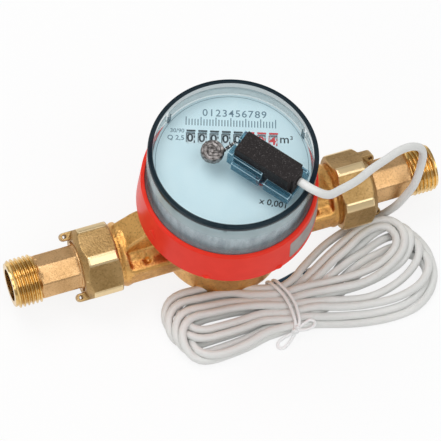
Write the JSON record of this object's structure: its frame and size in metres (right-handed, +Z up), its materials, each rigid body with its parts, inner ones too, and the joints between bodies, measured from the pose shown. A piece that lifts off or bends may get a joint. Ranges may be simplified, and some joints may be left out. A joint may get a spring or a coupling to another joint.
{
  "type": "water meter",
  "caption": "Brass single-jet water meter with union nuts and threaded tailpieces, a round counter dial under a clear cover in a red collar, and a sealed pulse sensor with a tied cable.",
  "frame": {"origin": "on the base under the centre of the dial, on the plane that the bowl stands on", "axes": "+X along the pipe from inlet to outlet, +Z up out of the dial"},
  "size_m": [0.19, 0.0993, 0.091],
  "materials": {
    "casting_brass": "sand-blasted casting",
    "nut_brass": "matte, hot pressed",
    "tail_brass": "pressed, with turned threads",
    "red_plastic": "glossy moulding",
    "clear_plastic": "clear moulding",
    "cradle_plastic": "clear moulding",
    "case_plastic": "moulded",
    "dial": "printed",
    "drum": "moulded, printed figures",
    "pointer_red": "moulded",
    "gear_plastic": "moulded",
    "plate": "punched sheet",
    "steel": "drawn",
    "magnet": "plastic-bonded ferrite",
    "rubber": "moulded",
    "sensor_plastic": "fine-grained moulding",
    "lead": "pressed lead",
    "cable": "extruded",
    "tie": "twisted"
  },
  "bodies": {
    "root": {"meter_body": "casting_brass", "inlet_strainer": "gear_plastic", "pivot_pin": "steel", "chamber_cover": "casting_brass", "cover_seal": "rubber", "inlet_gasket": "rubber", "outlet_gasket": "rubber", "inlet_tailpiece": "tail_brass", "outlet_tailpiece": "tail_brass", "collar": "red_plastic", "cable_lead": "cable", "cable_hank": "cable", "cable_tie": "tie"},
    "inlet_nut": {"inlet_nut": "nut_brass"},
    "outlet_nut": {"outlet_nut": "nut_brass"},
    "impeller": {"impeller": "gear_plastic", "drive_magnet": "magnet"},
    "register": {"clear_cover": "clear_plastic", "movement_case": "case_plastic", "movement_plate": "plate", "dial_plate": "dial", "drum_axle": "steel", "carry_axle": "steel", "carry_pinions": "gear_plastic", "sensor_cradle": "cradle_plastic", "pulse_sensor": "sensor_plastic", "lead_seal": "lead", "seal_wire": "steel"},
    "follower": {"follower": "magnet"},
    "wheel_one": {"wheel_one": "gear_plastic"},
    "wheel_two": {"wheel_two": "gear_plastic"},
    "pulse_wheel": {"pulse_wheel": "gear_plastic", "pulse_pointer": "pointer_red"},
    "drum_worm": {"drum_worm": "gear_plastic"},
    "drum_1": {"drum_1": "drum"},
    "drum_2": {"drum_2": "drum"},
    "drum_3": {"drum_3": "drum"},
    "drum_4": {"drum_4": "drum"},
    "drum_5": {"drum_5": "drum"},
    "drum_6": {"drum_6": "drum"},
    "drum_7": {"drum_7": "drum"},
    "drum_8": {"drum_8": "drum"}
  },
  "joints": [
    {"name": "register_turn", "type": "hinge", "parent": "root", "child": "register", "pos_m": [0, 0, 0.06], "axis": [0, 0, 1], "range_deg": [-170, 170], "deforming": ["cable_lead"]},
    {"name": "inlet_nut_turn", "type": "hinge", "parent": "root", "child": "inlet_nut", "pos_m": [-0.0575, 0, 0.018], "axis": [1, 0, 0], "continuous": true},
    {"name": "outlet_nut_turn", "type": "hinge", "parent": "root", "child": "outlet_nut", "pos_m": [0.0575, 0, 0.018], "axis": [1, 0, 0], "continuous": true},
    {"name": "impeller_spin", "type": "hinge", "parent": "root", "child": "impeller", "pos_m": [0, 0, 0.018], "axis": [0, 0, 1], "continuous": true},
    {"name": "follower_spin", "type": "hinge", "parent": "register", "child": "follower", "pos_m": [0, 0, 0.06], "axis": [0, 0, 1], "continuous": true},
    {"name": "wheel_one_spin", "type": "hinge", "parent": "register", "child": "wheel_one", "pos_m": [-0.01271, -0.00274, 0.06], "axis": [0, 0, 1], "continuous": true},
    {"name": "wheel_two_spin", "type": "hinge", "parent": "register", "child": "wheel_two", "pos_m": [-0.00423, -0.01259, 0.06], "axis": [0, 0, 1], "continuous": true},
    {"name": "pulse_wheel_spin", "type": "hinge", "parent": "register", "child": "pulse_wheel", "pos_m": [0.00872, -0.01146, 0.06], "axis": [0, 0, 1], "continuous": true},
    {"name": "drum_worm_spin", "type": "hinge", "parent": "register", "child": "drum_worm", "pos_m": [0.01972, -0.00664, 0.06], "axis": [0, 0, 1], "continuous": true},
    {"name": "drum_8_spin", "type": "hinge", "parent": "register", "child": "drum_8", "pos_m": [0.0039, 0.01071, 0.0626], "axis": [0.9397, -0.342, 0], "continuous": true},
    {"name": "drum_7_spin", "type": "hinge", "parent": "register", "child": "drum_7", "pos_m": [0.0039, 0.01071, 0.0626], "axis": [0.9397, -0.342, 0], "continuous": true},
    {"name": "drum_6_spin", "type": "hinge", "parent": "register", "child": "drum_6", "pos_m": [0.0039, 0.01071, 0.0626], "axis": [0.9397, -0.342, 0], "continuous": true},
    {"name": "drum_5_spin", "type": "hinge", "parent": "register", "child": "drum_5", "pos_m": [0.0039, 0.01071, 0.0626], "axis": [0.9397, -0.342, 0], "continuous": true},
    {"name": "drum_4_spin", "type": "hinge", "parent": "register", "child": "drum_4", "pos_m": [0.0039, 0.01071, 0.0626], "axis": [0.9397, -0.342, 0], "continuous": true},
    {"name": "drum_3_spin", "type": "hinge", "parent": "register", "child": "drum_3", "pos_m": [0.0039, 0.01071, 0.0626], "axis": [0.9397, -0.342, 0], "continuous": true},
    {"name": "drum_2_spin", "type": "hinge", "parent": "register", "child": "drum_2", "pos_m": [0.0039, 0.01071, 0.0626], "axis": [0.9397, -0.342, 0], "continuous": true},
    {"name": "drum_1_spin", "type": "hinge", "parent": "register", "child": "drum_1", "pos_m": [0.0039, 0.01071, 0.0626], "axis": [0.9397, -0.342, 0], "continuous": true}
  ],
  "couplings": [
    {"joint": "follower_spin", "follows": "impeller_spin", "ratio": 1},
    {"joint": "wheel_one_spin", "follows": "impeller_spin", "ratio": -0.3},
    {"joint": "wheel_two_spin", "follows": "impeller_spin", "ratio": 0.09},
    {"joint": "pulse_wheel_spin", "follows": "impeller_spin", "ratio": -0.027},
    {"joint": "drum_worm_spin", "follows": "impeller_spin", "ratio": 0.009},
    {"joint": "drum_8_spin", "follows": "impeller_spin", "ratio": -0.00045},
    {"joint": "drum_7_spin", "follows": "impeller_spin", "ratio": -0.000045},
    {"joint": "drum_6_spin", "follows": "impeller_spin", "ratio": -0.0000045},
    {"joint": "drum_5_spin", "follows": "impeller_spin", "ratio": -0.00000045},
    {"joint": "drum_4_spin", "follows": "impeller_spin", "ratio": -0.000000045},
    {"joint": "drum_3_spin", "follows": "impeller_spin", "ratio": -0.0000000045},
    {"joint": "drum_2_spin", "follows": "impeller_spin", "ratio": -0.00000000045},
    {"joint": "drum_1_spin", "follows": "impeller_spin", "ratio": -0.000000000045}
  ]
}
